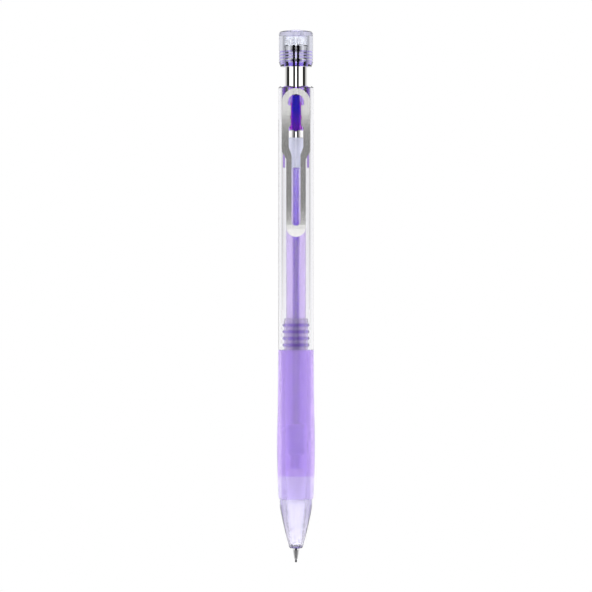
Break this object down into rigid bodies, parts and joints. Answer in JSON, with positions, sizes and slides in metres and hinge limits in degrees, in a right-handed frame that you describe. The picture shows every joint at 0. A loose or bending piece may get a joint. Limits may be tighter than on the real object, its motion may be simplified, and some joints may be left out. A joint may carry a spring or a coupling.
{
  "type": "mechanical pencil",
  "caption": "Click mechanical pencil with a clear barrel, soft lavender grip, pressed steel clip and a clear push cap over a white eraser.",
  "frame": {"origin": "on the pencil's axis, at the middle of the widest part of the grip, where a hand or a holder takes it", "axes": "+Z along the pencil towards the push cap, -Y towards the viewer on the clip's side, +X to the right"},
  "size_m": [0.0104, 0.0125, 0.145],
  "materials": {
    "clear_barrel": "clear polished",
    "clear_nose": "clear polished, faint violet",
    "clear_cap": "clear polished, faint violet",
    "violet_clear": "translucent violet",
    "lavender_tube": "translucent lavender",
    "milky_funnel": "milky",
    "violet_plug": "satin",
    "soft_grip": "frosted translucent",
    "white_acetal": "satin",
    "clip_steel": "satin",
    "tip_metal": "bright nickel",
    "tube_chrome": "polished",
    "ring_steel": "turned",
    "spring_steel": "drawn wire",
    "retainer_rubber": "matte white silicone",
    "graphite": "graphite sheen",
    "white_eraser": "matte"
  },
  "bodies": {
    "front_body": {"front_section": "clear_nose", "grip": "soft_grip", "lead_pipe": "tip_metal", "lead_retainer": "retainer_rubber"},
    "barrel_body": {"barrel": "clear_barrel", "clip_sleeve": "violet_clear", "chuck_sleeve": "white_acetal", "return_spring": "spring_steel"},
    "knock_body": {"knock_tube": "tube_chrome", "lead_funnel": "milky_funnel", "lead_reservoir": "lavender_tube", "chuck_connector": "violet_plug", "chuck": "white_acetal", "spare_lead_1": "graphite", "spare_lead_2": "graphite", "spare_lead_3": "graphite"},
    "ring_body": {"clutch_ring": "ring_steel"},
    "lead_body": {"working_lead": "graphite"},
    "eraser_body": {"eraser": "white_eraser"},
    "cap_body": {"push_cap": "clear_cap"},
    "clip_body": {"clip": "clip_steel"}
  },
  "joints": [
    {"name": "barrel_pull", "type": "slide", "parent": "front_body", "child": "barrel_body", "axis": [0, 0, 1], "range_m": [0, 0.07]},
    {"name": "knock_press", "type": "slide", "parent": "barrel_body", "child": "knock_body", "axis": [0, 0, -1], "range_m": [0, 0.0026], "stiffness_N_per_m": 900, "springref_m": -0.002, "deforming": ["return_spring"]},
    {"name": "clutch_feed", "type": "slide", "parent": "barrel_body", "child": "ring_body", "axis": [0, 0, -1], "range_m": [0, 0.000601]},
    {"name": "lead_feed", "type": "slide", "parent": "barrel_body", "child": "lead_body", "axis": [0, 0, -1], "range_m": [-0.00085, 0.012]},
    {"name": "eraser_pull", "type": "slide", "parent": "knock_body", "child": "eraser_body", "axis": [0, 0, 1], "range_m": [0, 0.009]},
    {"name": "cap_pull", "type": "slide", "parent": "eraser_body", "child": "cap_body", "axis": [0, 0, 1], "range_m": [0, 0.012]},
    {"name": "clip_lift", "type": "hinge", "parent": "barrel_body", "child": "clip_body", "pos_m": [0, -0.00675, 0.08946], "axis": [-1, 0, 0], "range_deg": [0, 5], "stiffness_Nm_per_rad": 1.2, "springref_deg": -0.57}
  ],
  "couplings": [
    {"joint": "clutch_feed", "follows": "knock_press", "ratio": 0.23077}
  ]
}
